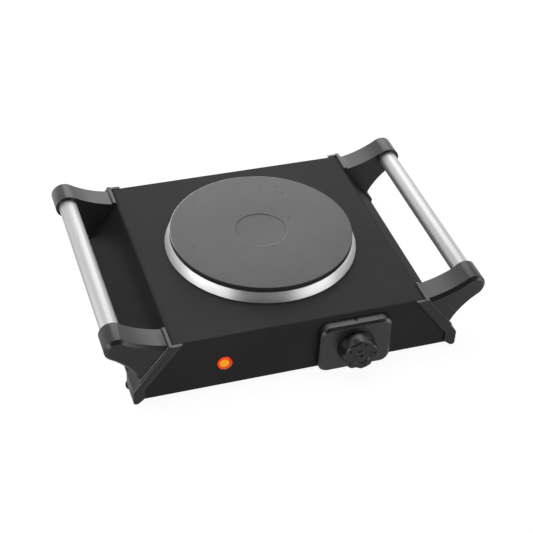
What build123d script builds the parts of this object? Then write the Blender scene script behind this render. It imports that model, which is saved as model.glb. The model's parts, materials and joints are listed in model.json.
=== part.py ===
from build123d import *
import math
import os

os.makedirs("parts", exist_ok=True)

# Case: one folded steel sheet, sloped at the sides
case_width = 251.0  # top, between the two side bends
case_depth = 252.0
case_height = 61.5  # lower edge of the skirt to the top
side_flare = 35.9  # how far each side spreads below the top
skirt_height = 14.0  # upright strip below each slope
sheet = 1.0
top_bend = 5.5  # outer radius of the side bends
front_bend = 1.2  # outer radius of the crisp front and rear edges
flange_width = 14.0  # in-turned strip that the base plate is screwed to
flange_inset = 26.4  # each end of that strip, inwards of the skirt

# Base plate under the case
base_sheet = 1.0
base_clearance = 4.0  # floor to the underside of the base plate
base_inset = 0.6
vent_length = 46.0
vent_width = 4.0
vent_pitch = 11.0
vent_count = 7
base_screw_pitch = 110.0

# Corner brackets: wrap plate, front lip, arm and tube boss
plate_run = 3.0  # thickness of the wrap plate, measured level
bracket_width = 28.5  # along the case, from the lip's face inwards
lip_proud = 3.5  # how far the lip stands off the front panel
lip_width = 11.5
lip_bevel = 5.0  # slanted strip along the lip's inner edge
lip_edge = 2.8  # how far the lip's inner edge stands off the panel
web_proud = 1.5  # how far the arm's face stands off the front panel
ledge_width = 2.2
ledge_proud = 2.6
ridge_start = 1.3  # ridge's inner edge, outside the side bend
ridge_width = 4.2
ridge_height = 0.9
ridge_slant = 1.2  # how far the ridge's outer side leans in
arm_drop = 0.8  # arm's start, below the top of the case
arm_foot_drop = 38.0  # arm's lower end, below the top of the case
arm_bevel = 3.2
bracket_screw_drops = (14.0, 27.0)  # below the top of the case
foot_floor_gap = 2.7  # floor to the underside of the bracket's foot
foot_flange_width = 17.0
foot_flange_setback = 4.0  # front of the flange, behind the front panel
foot_chamfer_width = 7.2
foot_chamfer_height = 5.4
foot_outer_chamfer = 1.6
seat_gap = 0.15  # between the bracket and the sheet it wraps

# Handle tubes
tube_outset = 51.8  # tube's axis, outwards of the side bend
tube_lift = 4.6  # tube's axis above the top of the case
tube_radius = 9.25
tube_wall = 1.2
tube_insertion = 12.0
boss_radius = 12.5
boss_proud = 1.0  # boss face, inwards of the arm's inner face
boss_join_top = 123.5  # degrees round the boss where the arm's top edge meets it
boss_join_low = -57.0  # degrees round the boss where the arm's lower edge meets it

# Rubber feet
pad_radius = 7.0
pad_overhang = 1.2  # how far the pad stands out from the bracket
pad_edge = 0.7
pad_stem_radius = 2.0

# Cast-iron hot plate and what holds it
plate_radius = 92.0
plate_x = -1.2  # plate's axis, from the middle of the case
plate_lift = 16.6  # cooking face above the top of the case
plate_side = 5.6  # height of the plate's upright dark side
plate_depth = 14.1
plate_edge = 0.6
plate_neck = 3.8  # step from the plate's side in to its neck
dish_radius = 26.5
dish_depth = 0.8
channel_inner = 34.0
channel_wall = 8.2  # from the channel out to the neck
channel_depth = 6.5
fill_depth = 5.5
ring_spread = 4.2  # how far the trim ring widens downwards
ring_sheet = 0.7
ring_foot = 4.0
coil_radius = 2.2
coil_inset = 10.0  # inner turn, from the channel's inner wall
coil_outset = 14.0  # outer turn, from the channel's outer wall
coil_gap_angle = 30.0
bead_radius = 4.0
bead_length = 9.0
pin_tail = 3.5  # bare pin below its bead
cover_sheet = 0.7
stud_radius = 3.9
stud_length = 33.0
top_hole_inset = 18.0  # hole in the case, inwards of the plate's side
bridge_width = 24.0
bridge_overlap = 12.0
bridge_thickness = 2.5
washer_radius = 9.0
washer_thickness = 1.6
nut_width = 13.0
nut_height = 6.5

# Heat shield on the base plate
shield_width = 150.0
shield_depth = 130.0
shield_height = 8.0
shield_sheet = 0.7
shield_foot = 9.0

# Control panel on the front
control_x = 54.0
control_drop = 35.0  # control axis below the top of the case
bezel_width = 73.5
bezel_height = 54.5
bezel_depth = 10.5
bezel_corner = 10.0
bezel_bevel = 2.5
bezel_wall = 2.5
bezel_boss_spread = 27.0
bezel_boss_radius = 4.0
mark_width = 6.0
mark_length = 6.5
mark_depth = 0.5
knob_gap = 0.5
knob_base_radius = 19.0  # at the panel
knob_radius = 17.2  # at the front
knob_length = 13.6
knob_lobes = 5
scallop_radius = 9.0
scallop_depth = 2.0
scallop_length = 9.0  # from the front to where each scallop runs out
scallop_runout = 0.3  # scallop's end, clear of the knob's side
knob_lobe_angle = 3.0  # first lobe, degrees from level
knob_edge = 0.9
knob_hub_radius = 6.5
knob_hollow_radius = 13.0
knob_face_thickness = 4.0
dial_ring_radius = 10.6
dial_ring_width = 5.2
dial_ring_depth = 0.7
dimple_radius = 1.1
dimple_inset = 3.6
dimple_depth = 0.8
spindle_radius = 3.0
spindle_flat = 0.8
spindle_engage = 9.0
spindle_gap = 0.05

# Thermostat behind the control panel
stat_width = 34.0
stat_height = 28.0
stat_depth = 24.0
stat_bush_radius = 5.0
stat_bush_length = 5.0
stat_nut_width = 14.0
stat_nut_height = 2.5
tab_width = 6.3
tab_thickness = 0.8
tab_length = 8.0
tab_spread = 9.0

# Neon lamp on the front
lamp_x = -75.4
lamp_drop = 33.7
lens_radius = 7.1
lens_proud = 3.6
lens_dome = 1.3
lens_swell = 0.3  # part of the dome lost at half the radius
lens_stem_radius = 5.9
lens_stem_length = 14.0
lens_wall = 1.2
holder_length = 9.0
bulb_radius = 3.0
bulb_length = 15.0
bulb_round = 2.7
bulb_seat = 4.0  # how deep the bulb sits in its holder
clip_radius = 8.8
clip_thickness = 1.0

# Cord gland, terminal strip and earth tab at the rear
gland_inset = 65.5  # gland and terminal strip, inwards of the side bend
gland_drop = 36.0
gland_head_radius = 9.5
gland_head = 6.0
gland_taper = 12.0  # degrees
gland_body_radius = 7.5
gland_tail = 8.0
gland_bore_radius = 3.8
strip_width = 40.0
strip_depth = 20.0
strip_height = 18.0
strip_corner = 2.0
strip_pitch = 13.0  # between the clamp screws
strip_well = 6.0  # depth of the clamp screws' holes
strip_setback = 16.0  # rear panel to the strip
earth_inset = 13.5  # earth tab, inwards of the side bend
earth_height = 12.0

# Screws and wiring
screw_radius = 1.9
screw_head_radius = 3.6
screw_head = 2.0
screw_grip = 9.0
thread_gap = 0.05
hole_gap = 0.2
lead_radius = 1.3
lead_bend = 5.0
lead_straight = 12.5  # straight run where a lead leaves its clamp

# Places worked out from the sizes above
skirt_z = base_clearance + base_sheet
top_z = skirt_z + case_height
bend_z = skirt_z + skirt_height
half_top = case_width / 2
half_base = half_top + side_flare
slope = side_flare / (case_height - skirt_height)
slope_angle = math.degrees(math.atan(slope))
front_reach = bezel_depth + knob_gap + knob_length
rear_reach = max(gland_head, lip_proud)
case_y = (front_reach - rear_reach) / 2
front_y = case_y - case_depth / 2
back_y = case_y + case_depth / 2
front_inner = front_y + sheet
back_inner = back_y - sheet
plate_top = top_z + plate_lift
plate_side_z = plate_top - plate_side
plate_under = plate_top - plate_depth
cover_under = plate_under - cover_sheet
deck_under = top_z - sheet
control_z = top_z - control_drop
lamp_z = top_z - lamp_drop
gland_z = top_z - gland_drop
tube_z = top_z + tube_lift
tube_reach = half_top + tube_outset
neck_radius = plate_radius - plate_neck
channel_outer = neck_radius - channel_wall
coil_inner = channel_inner + coil_inset
coil_outer = channel_outer - coil_outset
top_hole_radius = plate_radius - top_hole_inset
gland_x = half_top - gland_inset
earth_x = half_top - earth_inset
bezel_face = front_y - bezel_depth
knob_back = bezel_face - knob_gap
base_top = base_clearance + base_sheet

front_plane = Plane((0, front_y, 0), x_dir=(1, 0, 0), z_dir=(0, -1, 0))
middle_plane = Plane((0, case_y, 0), x_dir=(1, 0, 0), z_dir=(0, -1, 0))
rear_plane = Plane((0, back_y, 0), x_dir=(-1, 0, 0), z_dir=(0, 1, 0))
plate_plane = Plane((plate_x, case_y, 0), x_dir=(1, 0, 0), z_dir=(0, -1, 0))
plate_axis = Axis((plate_x, case_y, 0), (0, 0, 1))
lamp_axis = Axis((lamp_x, 0, lamp_z), (0, -1, 0))


def level(height):
    """Level plane over the middle of the case."""
    return Plane((0, case_y, height))


def plate_level(height):
    """Level plane over the plate's axis."""
    return Plane((plate_x, case_y, height))


def side_x(height):
    """Outer face of the sloped side at a height."""
    return half_top + slope * (top_z - height)


# Case
control_place = (control_x, control_z)
bezel_bosses = [(control_x + side * bezel_boss_spread, control_z) for side in (-1, 1)]
base_screw_y = case_depth / 2 - sheet - flange_width / 2
screw_hole_radius = screw_radius + hole_gap
bracket_inner = case_depth / 2 + lip_proud - bracket_width
bracket_screw_y = case_y - (bracket_inner + bracket_width / 2)
slope_normal = (math.cos(math.radians(slope_angle)), 0, math.sin(math.radians(slope_angle)))


def slope_plane(drop):
    """Plane on the right-hand slope at a bracket screw, facing outwards."""
    height = top_z - drop
    return Plane((side_x(height), bracket_screw_y, height), x_dir=(0, 1, 0), z_dir=slope_normal)


with BuildPart() as bracket_holes:
    for drop in bracket_screw_drops:
        with BuildSketch(slope_plane(drop)):
            Circle(screw_hole_radius)
        extrude(amount=2 * sheet, both=True)
    mirror(about=Plane.YZ)
    mirror(about=middle_plane)

with BuildPart() as body_shell:
    with BuildSketch(middle_plane):
        with BuildLine():
            Polyline(
                (half_top, top_z),
                (half_base, bend_z),
                (half_base, skirt_z),
                (-half_base, skirt_z),
                (-half_base, bend_z),
                (-half_top, top_z),
                close=True,
            )
        make_face()
    extrude(amount=case_depth / 2, both=True)
    fillet(body_shell.edges().filter_by(Axis.Y).group_by(Axis.Z)[-1], radius=top_bend)
    top_face = body_shell.faces().sort_by(Axis.Z)[-1]
    fillet(top_face.edges().filter_by(Axis.X), radius=front_bend)
    offset(amount=-sheet, openings=body_shell.faces().sort_by(Axis.Z)[0])
    with Locations(*[(0, case_y + side * base_screw_y, skirt_z) for side in (-1, 1)]):
        flange_length = 2 * (half_base - flange_inset)
        Box(flange_length, flange_width, sheet, align=(Align.CENTER, Align.CENTER, Align.MIN))
    with BuildSketch(plate_level(top_z)):
        Circle(top_hole_radius)
    extrude(amount=-2 * sheet, mode=Mode.SUBTRACT)
    with BuildSketch(front_plane):
        with Locations(control_place):
            Circle(stat_bush_radius + hole_gap)
        with Locations(*bezel_bosses):
            Circle(screw_hole_radius)
        with Locations((lamp_x, lamp_z)):
            Circle(lens_stem_radius + hole_gap)
    extrude(amount=-2 * sheet, mode=Mode.SUBTRACT)
    with BuildSketch(rear_plane):
        with Locations((-gland_x, gland_z)):
            Circle(gland_body_radius + hole_gap)
    extrude(amount=-2 * sheet, mode=Mode.SUBTRACT)
    with BuildSketch(level(skirt_z)):
        with GridLocations(base_screw_pitch, 2 * base_screw_y, 3, 2):
            Circle(screw_radius + thread_gap)
    extrude(amount=sheet, mode=Mode.SUBTRACT)
    add(bracket_holes.part, mode=Mode.SUBTRACT)

with BuildPart() as base_plate:
    with BuildSketch(level(base_clearance)):
        Rectangle(2 * (half_base - base_inset), case_depth - 2 * base_inset)
        with GridLocations(base_screw_pitch, 2 * base_screw_y, 3, 2):
            Circle(screw_hole_radius, mode=Mode.SUBTRACT)
        for side in (-1, 1):
            with Locations((side * (half_top - vent_length / 2), 0)):
                with GridLocations(vent_length, vent_pitch, 1, vent_count):
                    SlotOverall(vent_length, vent_width, mode=Mode.SUBTRACT)
    extrude(amount=base_sheet)

with BuildPart() as base_screws:
    with BuildSketch(level(base_clearance)):
        with GridLocations(base_screw_pitch, 2 * base_screw_y, 3, 2):
            Circle(screw_head_radius)
    extrude(amount=-screw_head)
    with BuildSketch(level(base_clearance)):
        with GridLocations(base_screw_pitch, 2 * base_screw_y, 3, 2):
            Circle(screw_radius)
    extrude(amount=base_sheet + sheet + screw_head)

with BuildPart() as heat_shield:
    with BuildSketch(middle_plane):
        with BuildLine():
            half = shield_width / 2
            Polyline(
                (-half - shield_foot, base_top),
                (-half, base_top),
                (-half, base_top + shield_height),
                (half, base_top + shield_height),
                (half, base_top),
                (half + shield_foot, base_top),
            )
            offset(amount=shield_sheet, side=Side.LEFT)
        make_face()
    extrude(amount=shield_depth / 2, both=True)

# Corner brackets
foot_x = half_base + plate_run
foot_slant = foot_chamfer_height / foot_chamfer_width
pad_y = case_y - bracket_inner
pad_place = (foot_x - pad_radius + pad_overhang, pad_y)
ridge_in = half_top + ridge_start
ridge_out = ridge_in + ridge_width
arm_start = (ridge_out, top_z - arm_drop)
arm_end_z = top_z - arm_foot_drop
arm_end = (side_x(arm_end_z) + plate_run, arm_end_z)


def on_boss(angle, radius=boss_radius):
    """Point round the tube boss, in degrees from level outwards."""
    turn = math.radians(angle)
    return (tube_reach + radius * math.cos(turn), tube_z + radius * math.sin(turn))


def along_boss(angle, way):
    """Direction along the boss's rim, way 1 anticlockwise and -1 clockwise."""
    turn = math.radians(angle)
    return (-way * math.sin(turn), way * math.cos(turn))


def slope_points(shift, low, high):
    """Two points on a line parallel to the sloped side, shifted outwards."""
    return [(side_x(low) + shift, low), (side_x(high) + shift, high)]


with BuildPart() as bracket_front_right:
    with BuildSketch(middle_plane.offset(bracket_inner)):
        with BuildLine():
            boss_top = on_boss(boss_join_top)
            boss_low = on_boss(boss_join_low)
            TangentArc(boss_top, arm_start, tangent=along_boss(boss_join_top, 1))
            ThreePointArc(boss_top, on_boss((boss_join_top + boss_join_low) / 2), boss_low)
            TangentArc(boss_low, arm_end, tangent=along_boss(boss_join_low, -1))
            Polyline(arm_end, *slope_points(seat_gap, arm_end[1], arm_start[1]), arm_start)
        make_face()
    extrude(amount=case_depth / 2 + web_proud - bracket_inner)
    web_face = bracket_front_right.faces().sort_by(Axis.Y)[0]
    arm_edges = web_face.edges().filter_by(GeomType.CIRCLE).sort_by(Axis.Z)[-2:]
    arm_edges += web_face.edges().filter_by(GeomType.LINE).sort_by(Axis.Z)[-1:]
    chamfer(arm_edges, length=arm_bevel)
    with BuildSketch(middle_plane.offset(bracket_inner - boss_proud)):
        with Locations((tube_reach, tube_z)):
            Circle(boss_radius)
    extrude(amount=boss_proud)
    with BuildSketch(middle_plane.offset(bracket_inner)):
        with BuildLine():
            ridge_foot = top_z - (ridge_in - seat_gap - half_top) / slope
            ridge_lap = top_z - (ridge_out - plate_run - half_top) / slope
            Polyline(
                (ridge_in, ridge_foot),
                (ridge_in, top_z + ridge_height),
                (ridge_out - ridge_slant, top_z + ridge_height),
                (ridge_out, arm_start[1]),
                (ridge_out, ridge_lap),
                (foot_x, bend_z),
                (foot_x, foot_floor_gap + foot_outer_chamfer),
                (foot_x - foot_outer_chamfer, foot_floor_gap),
                (half_base + seat_gap, foot_floor_gap),
                (half_base + seat_gap, bend_z),
                close=True,
            )
        make_face()
    extrude(amount=bracket_width)
    for stand, bevel in ((seat_gap, 0.0), (lip_edge, 0.0), (lip_proud, lip_bevel)):
        with BuildSketch(front_plane.offset(stand)):
            with BuildLine():
                Polyline(
                    (half_top + plate_run - lip_width + bevel, top_z),
                    (half_top + plate_run, top_z),
                    (foot_x, bend_z),
                    (foot_x, foot_floor_gap + foot_outer_chamfer),
                    (foot_x - foot_outer_chamfer, foot_floor_gap),
                    (foot_x - lip_width + foot_chamfer_width, foot_floor_gap),
                    (foot_x - lip_width + bevel, foot_floor_gap + foot_chamfer_height - foot_slant * bevel),
                    (foot_x - lip_width + bevel, bend_z),
                    close=True,
                )
            make_face()
    loft(ruled=True)
    with BuildSketch(front_plane):
        with BuildLine():
            Polyline(
                *slope_points(plate_run - ledge_width, arm_end[1], arm_start[1]),
                *reversed(slope_points(plate_run + ledge_width, arm_end[1], arm_start[1])),
                close=True,
            )
        make_face()
    extrude(amount=ledge_proud)
    with BuildSketch(middle_plane.offset(bracket_inner - boss_proud)):
        with Locations((tube_reach, tube_z)):
            Circle(tube_radius + thread_gap)
    extrude(amount=boss_proud + tube_insertion, mode=Mode.SUBTRACT)
    for drop in bracket_screw_drops:
        with BuildSketch(slope_plane(drop)):
            Circle(screw_radius + thread_gap)
        extrude(amount=screw_grip + hole_gap, mode=Mode.SUBTRACT)
    with BuildSketch(Plane.XY.offset(foot_floor_gap)):
        with Locations((foot_x - foot_outer_chamfer, pad_y)):
            flange_depth = pad_y - front_y - foot_flange_setback
            Rectangle(foot_flange_width, flange_depth, align=(Align.MAX, Align.MAX))
        with Locations(pad_place):
            Circle(pad_radius - pad_overhang)
            Circle(pad_stem_radius + thread_gap, mode=Mode.SUBTRACT)
    extrude(amount=base_clearance - foot_floor_gap)

with BuildPart() as bracket_front_left:
    mirror(bracket_front_right.part, about=Plane.YZ)

with BuildPart() as bracket_rear_right:
    mirror(bracket_front_right.part, about=middle_plane)

with BuildPart() as bracket_rear_left:
    mirror(bracket_front_left.part, about=middle_plane)

with BuildPart() as bracket_screws:
    for drop in bracket_screw_drops:
        seat = slope_plane(drop).offset(-sheet)
        with BuildSketch(seat):
            Circle(screw_head_radius)
        extrude(amount=-screw_head)
        with BuildSketch(seat):
            Circle(screw_radius)
        extrude(amount=sheet + screw_grip)
    mirror(about=Plane.YZ)
    mirror(about=middle_plane)

with BuildPart() as rubber_feet:
    with BuildSketch(Plane.XY):
        with Locations(pad_place):
            Circle(pad_radius)
    extrude(amount=foot_floor_gap)
    chamfer(rubber_feet.edges().group_by(Axis.Z)[0], length=pad_edge)
    with BuildSketch(Plane.XY):
        with Locations(pad_place):
            Circle(pad_stem_radius)
    extrude(amount=base_clearance)
    mirror(about=Plane.YZ)
    mirror(about=middle_plane)

# Handle tubes
tube_length = 2 * (bracket_inner + tube_insertion)

with BuildPart() as handle_tube_right:
    with BuildSketch(middle_plane):
        with Locations((tube_reach, tube_z)):
            Circle(tube_radius)
            Circle(tube_radius - tube_wall, mode=Mode.SUBTRACT)
    extrude(amount=tube_length / 2, both=True)

with BuildPart() as handle_tube_left:
    mirror(handle_tube_right.part, about=Plane.YZ)

# Hot plate
channel_top = plate_under + channel_depth
fill_under = channel_top - fill_depth
coil_z = channel_top - fill_depth / 2
stud_hole_depth = channel_depth

with BuildPart() as hot_plate:
    with BuildSketch(plate_plane):
        with BuildLine():
            Polyline(
                (0, plate_under),
                (channel_inner, plate_under),
                (channel_inner, channel_top),
                (channel_outer, channel_top),
                (channel_outer, plate_under),
                (neck_radius, plate_under),
                (neck_radius, plate_side_z),
                (plate_radius, plate_side_z),
                (plate_radius, plate_top),
                (dish_radius, plate_top),
                (dish_radius - dish_depth, plate_top - dish_depth),
                (0, plate_top - dish_depth),
                close=True,
            )
        make_face()
    revolve(axis=plate_axis)
    rim = hot_plate.edges().filter_by(GeomType.CIRCLE).group_by(Axis.Z)[-1].sort_by(SortBy.RADIUS)[-1]
    chamfer(rim, length=plate_edge)
    with BuildSketch(plate_level(plate_under)):
        Circle(stud_radius + thread_gap)
    extrude(amount=stud_hole_depth, mode=Mode.SUBTRACT)

with BuildPart() as trim_ring:
    with BuildSketch(plate_plane):
        with BuildLine():
            Polyline(
                (neck_radius + hole_gap, plate_side_z - ring_sheet),
                (neck_radius + hole_gap, plate_side_z),
                (plate_radius, plate_side_z),
                (plate_radius + ring_spread, top_z),
                (plate_radius + ring_spread - ring_foot, top_z),
                (plate_radius + ring_spread - ring_foot, top_z + ring_sheet),
                (plate_radius + ring_spread - 2 * ring_sheet, top_z + ring_sheet),
                (plate_radius - ring_sheet, plate_side_z - ring_sheet),
                close=True,
            )
        make_face()
    revolve(axis=plate_axis)


def spoke(angle):
    """Upright plane through the plate's axis, turned to an angle."""
    turn = math.radians(angle)
    return Plane(
        (plate_x, case_y, 0),
        x_dir=(math.cos(turn), math.sin(turn), 0),
        z_dir=(math.sin(turn), -math.cos(turn), 0),
    )


def polar(radius, angle, height):
    """Point round the plate's axis."""
    turn = math.radians(angle)
    return (plate_x + radius * math.cos(turn), case_y + radius * math.sin(turn), height)


coil_start = -90.0 + coil_gap_angle / 2
coil_end = -90.0 - coil_gap_angle / 2
coil_arc = 360.0 - coil_gap_angle
pin_places = [(coil_inner, coil_start), (coil_outer, coil_start)]
bead_under = cover_under - bead_length + cover_sheet
pin_under = bead_under - pin_tail

# The winding and the tunnel that it lies in: two open rings joined at one end,
# with a pin down from each free end
windings = []
for wire in (coil_radius, coil_radius + hole_gap):
    with BuildPart() as winding:
        for ring in (coil_inner, coil_outer):
            with BuildSketch(spoke(coil_start)):
                with Locations((ring, coil_z)):
                    Circle(wire)
            revolve(axis=plate_axis, revolution_arc=-coil_arc)
        link_start = polar(coil_inner, coil_end, coil_z)
        with BuildSketch(Plane(link_start, z_dir=spoke(coil_end).x_dir)):
            Circle(wire)
        extrude(amount=coil_outer - coil_inner)
        for ring, angle in pin_places:
            with BuildSketch(Plane(polar(ring, angle, coil_z))):
                Circle(wire)
            extrude(amount=pin_under - coil_z)
        corners = [polar(r, a, coil_z) for r in (coil_inner, coil_outer) for a in (coil_start, coil_end)]
        with Locations(*corners):
            Sphere(wire)
    windings.append(winding)
heating_coil, coil_tunnel = windings

with BuildPart() as magnesia_fill:
    with BuildSketch(plate_level(fill_under)):
        Circle(channel_outer)
        Circle(channel_inner, mode=Mode.SUBTRACT)
    extrude(amount=fill_depth)
    add(coil_tunnel.part, mode=Mode.SUBTRACT)

with BuildPart() as plate_cover:
    with BuildSketch(plate_level(plate_under)):
        Circle(neck_radius)
        Circle(stud_radius + hole_gap, mode=Mode.SUBTRACT)
        for ring, angle in pin_places:
            with PolarLocations(ring, 1, start_angle=angle):
                Circle(bead_radius + hole_gap, mode=Mode.SUBTRACT)
    extrude(amount=-cover_sheet)

with BuildPart() as terminal_beads:
    with BuildSketch(plate_level(fill_under)):
        for ring, angle in pin_places:
            with PolarLocations(ring, 1, start_angle=angle):
                Circle(bead_radius)
                Circle(coil_radius + thread_gap, mode=Mode.SUBTRACT)
    extrude(amount=bead_under - fill_under)

with BuildPart() as centre_stud:
    with BuildSketch(plate_level(plate_under + stud_hole_depth - hole_gap)):
        Circle(stud_radius)
    extrude(amount=-stud_length)

bridge_under = deck_under - bridge_thickness
with BuildPart() as clamp_bridge:
    with BuildSketch(plate_level(deck_under)):
        SlotOverall(2 * (top_hole_radius + bridge_overlap), bridge_width)
        Circle(stud_radius + hole_gap, mode=Mode.SUBTRACT)
    extrude(amount=-bridge_thickness)

with BuildPart() as clamp_washer:
    with BuildSketch(plate_level(bridge_under)):
        Circle(washer_radius)
        Circle(stud_radius + hole_gap, mode=Mode.SUBTRACT)
    extrude(amount=-washer_thickness)

with BuildPart() as clamp_nut:
    with BuildSketch(plate_level(bridge_under - washer_thickness)):
        RegularPolygon(nut_width / 2, 6, major_radius=False)
        Circle(stud_radius + thread_gap, mode=Mode.SUBTRACT)
    extrude(amount=-nut_height)

# Control panel
with BuildPart() as control_bezel:
    with BuildSketch(front_plane):
        with Locations(control_place):
            RectangleRounded(bezel_width, bezel_height, bezel_corner)
    extrude(amount=bezel_depth)
    chamfer(control_bezel.faces().sort_by(Axis.Y)[0].edges(), length=bezel_bevel)
    with BuildSketch(front_plane):
        with Locations(control_place):
            hollow_width = bezel_width - 2 * bezel_wall
            hollow_height = bezel_height - 2 * bezel_wall
            RectangleRounded(hollow_width, hollow_height, bezel_corner - bezel_wall)
        with Locations(*bezel_bosses):
            Circle(bezel_boss_radius, mode=Mode.SUBTRACT)
    extrude(amount=bezel_depth - bezel_wall, mode=Mode.SUBTRACT)
    with BuildSketch(front_plane):
        with Locations(control_place):
            Circle(stat_bush_radius + hole_gap)
    extrude(amount=bezel_depth, mode=Mode.SUBTRACT)
    with BuildSketch(front_plane):
        with Locations(*bezel_bosses):
            Circle(screw_radius + thread_gap)
    extrude(amount=bezel_depth - bezel_wall, mode=Mode.SUBTRACT)
    with BuildSketch(Plane.XY.offset(control_z + bezel_height / 2)):
        with BuildLine():
            Polyline(
                (control_x - mark_width / 2, front_y),
                (control_x + mark_width / 2, front_y),
                (control_x, front_y - mark_length),
                close=True,
            )
        make_face()
    extrude(amount=-mark_depth, mode=Mode.SUBTRACT)

with BuildPart() as bezel_screws:
    with BuildSketch(front_plane.offset(-sheet)):
        with Locations(*bezel_bosses):
            Circle(screw_head_radius)
    extrude(amount=-screw_head)
    with BuildSketch(front_plane.offset(-sheet)):
        with Locations(*bezel_bosses):
            Circle(screw_radius)
    extrude(amount=sheet + bezel_depth - bezel_wall - hole_gap)

knob_plane = Plane((control_x, knob_back, control_z), x_dir=(1, 0, 0), z_dir=(0, -1, 0))
spindle_end = knob_back - spindle_engage
lobe_step = 360.0 / knob_lobes
knob_draft = (knob_base_radius - knob_radius) / knob_length
scallop_place = knob_radius - scallop_depth + scallop_radius
scallop_end = scallop_place - knob_radius - knob_draft * scallop_length - scallop_runout
scallop_draft = (scallop_radius - scallop_end) / scallop_length

with BuildPart() as knob:
    with BuildSketch(knob_plane):
        Circle(knob_base_radius)
    extrude(amount=knob_length, taper=math.degrees(math.atan(knob_draft)))
    with BuildSketch(knob_plane.offset(knob_length)):
        with PolarLocations(scallop_place, knob_lobes, start_angle=knob_lobe_angle + lobe_step / 2):
            Circle(scallop_radius)
    extrude(amount=-scallop_length, taper=math.degrees(math.atan(scallop_draft)), mode=Mode.SUBTRACT)
    knob_front = knob.faces().sort_by(Axis.Y)[0]
    chamfer(knob_front.edges(), length=knob_edge)
    with BuildSketch(knob_plane):
        Circle(knob_hollow_radius)
        Circle(knob_hub_radius, mode=Mode.SUBTRACT)
    extrude(amount=knob_length - knob_face_thickness, mode=Mode.SUBTRACT)
    with BuildSketch(knob_plane):
        Circle(spindle_radius + spindle_gap)
        with Locations((0, spindle_radius)):
            Rectangle(2 * knob_hub_radius, 2 * spindle_flat, mode=Mode.SUBTRACT)
    extrude(amount=spindle_engage + hole_gap, mode=Mode.SUBTRACT)
    with BuildSketch(knob_plane.offset(knob_length)):
        Circle(dial_ring_radius)
        Circle(dial_ring_radius - dial_ring_width, mode=Mode.SUBTRACT)
    extrude(amount=-dial_ring_depth, mode=Mode.SUBTRACT)
    with BuildSketch(knob_plane.offset(knob_length)):
        Circle(dimple_radius)
        with PolarLocations(knob_radius - dimple_inset, knob_lobes, start_angle=knob_lobe_angle):
            Circle(dimple_radius)
    extrude(amount=-dimple_depth, mode=Mode.SUBTRACT)

# Thermostat
stat_back = front_inner + stat_depth
spindle_start = stat_back - bezel_wall

with BuildPart() as thermostat_body:
    with BuildSketch(front_plane.offset(-sheet)):
        with Locations(control_place):
            Rectangle(stat_width, stat_height)
        with Locations(*bezel_bosses):
            Circle(screw_head_radius + hole_gap, mode=Mode.SUBTRACT)
    extrude(amount=-stat_depth)
    with BuildSketch(front_plane.offset(-sheet)):
        with Locations(control_place):
            Circle(stat_bush_radius)
    extrude(amount=sheet + stat_bush_length)
    with BuildSketch(front_plane.offset(stat_bush_length)):
        with Locations(control_place):
            Circle(spindle_radius + spindle_gap)
    extrude(amount=spindle_start - hole_gap - front_y + stat_bush_length, mode=Mode.SUBTRACT, dir=(0, 1, 0))

with BuildPart() as thermostat_nut:
    with BuildSketch(front_plane):
        with Locations(control_place):
            RegularPolygon(stat_nut_width / 2, 6, major_radius=False)
            Circle(stat_bush_radius + thread_gap, mode=Mode.SUBTRACT)
    extrude(amount=stat_nut_height)

with BuildPart() as thermostat_spindle:
    with BuildSketch(Plane((control_x, spindle_end, control_z), x_dir=(1, 0, 0), z_dir=(0, -1, 0))):
        Circle(spindle_radius)
    extrude(amount=spindle_end - spindle_start + hole_gap)
    with BuildSketch(knob_plane):
        with Locations((0, spindle_radius)):
            Rectangle(2 * knob_hub_radius, 2 * spindle_flat + 2 * spindle_gap)
    extrude(amount=spindle_engage, mode=Mode.SUBTRACT)

tab_places = [(control_x - tab_spread, control_z), (control_x + tab_spread, control_z)]
with BuildPart() as thermostat_tabs:
    with BuildSketch(front_plane.offset(front_y - stat_back)):
        with Locations(*tab_places):
            Rectangle(tab_thickness, tab_width)
    extrude(amount=-tab_length)

# Neon lamp
stem_end = front_y + lens_stem_length
holder_end = stem_end + holder_length
bulb_end = stem_end + bulb_seat
lamp_plane = Plane((lamp_x, 0, lamp_z), x_dir=(1, 0, 0), z_dir=(0, 0, 1))
lens_tip = front_y - lens_proud
lens_shoulder = lens_tip + lens_dome
bore_end = front_y - lens_proud / 2

with BuildPart() as lamp_lens:
    with BuildSketch(lamp_plane):
        with BuildLine():
            ThreePointArc(
                (0, lens_tip),
                (lens_radius / 2, lens_tip + lens_dome * lens_swell),
                (lens_radius, lens_shoulder),
            )
            Polyline(
                (lens_radius, lens_shoulder),
                (lens_radius, front_y),
                (lens_stem_radius, front_y),
                (lens_stem_radius, stem_end),
                (lens_stem_radius - lens_wall, stem_end),
                (lens_stem_radius - lens_wall, bore_end),
                (0, bore_end),
                (0, lens_tip),
            )
        make_face()
    revolve(axis=lamp_axis)

with BuildPart() as lamp_holder:
    with BuildSketch(Plane((lamp_x, stem_end, lamp_z), x_dir=(-1, 0, 0), z_dir=(0, 1, 0))):
        Circle(lens_stem_radius)
    extrude(amount=holder_length)
    with BuildSketch(Plane((lamp_x, stem_end, lamp_z), x_dir=(-1, 0, 0), z_dir=(0, 1, 0))):
        Circle(bulb_radius + thread_gap)
    extrude(amount=bulb_seat, mode=Mode.SUBTRACT)

with BuildPart() as neon_bulb:
    with BuildSketch(Plane((lamp_x, bulb_end, lamp_z), x_dir=(1, 0, 0), z_dir=(0, -1, 0))):
        Circle(bulb_radius)
    extrude(amount=bulb_length)
    fillet(neon_bulb.edges().group_by(Axis.Y)[0], radius=bulb_round)

with BuildPart() as lamp_clip:
    with BuildSketch(front_plane.offset(-sheet)):
        with Locations((lamp_x, lamp_z)):
            Circle(clip_radius)
            Circle(lens_stem_radius + thread_gap, mode=Mode.SUBTRACT)
    extrude(amount=-clip_thickness)

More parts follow.
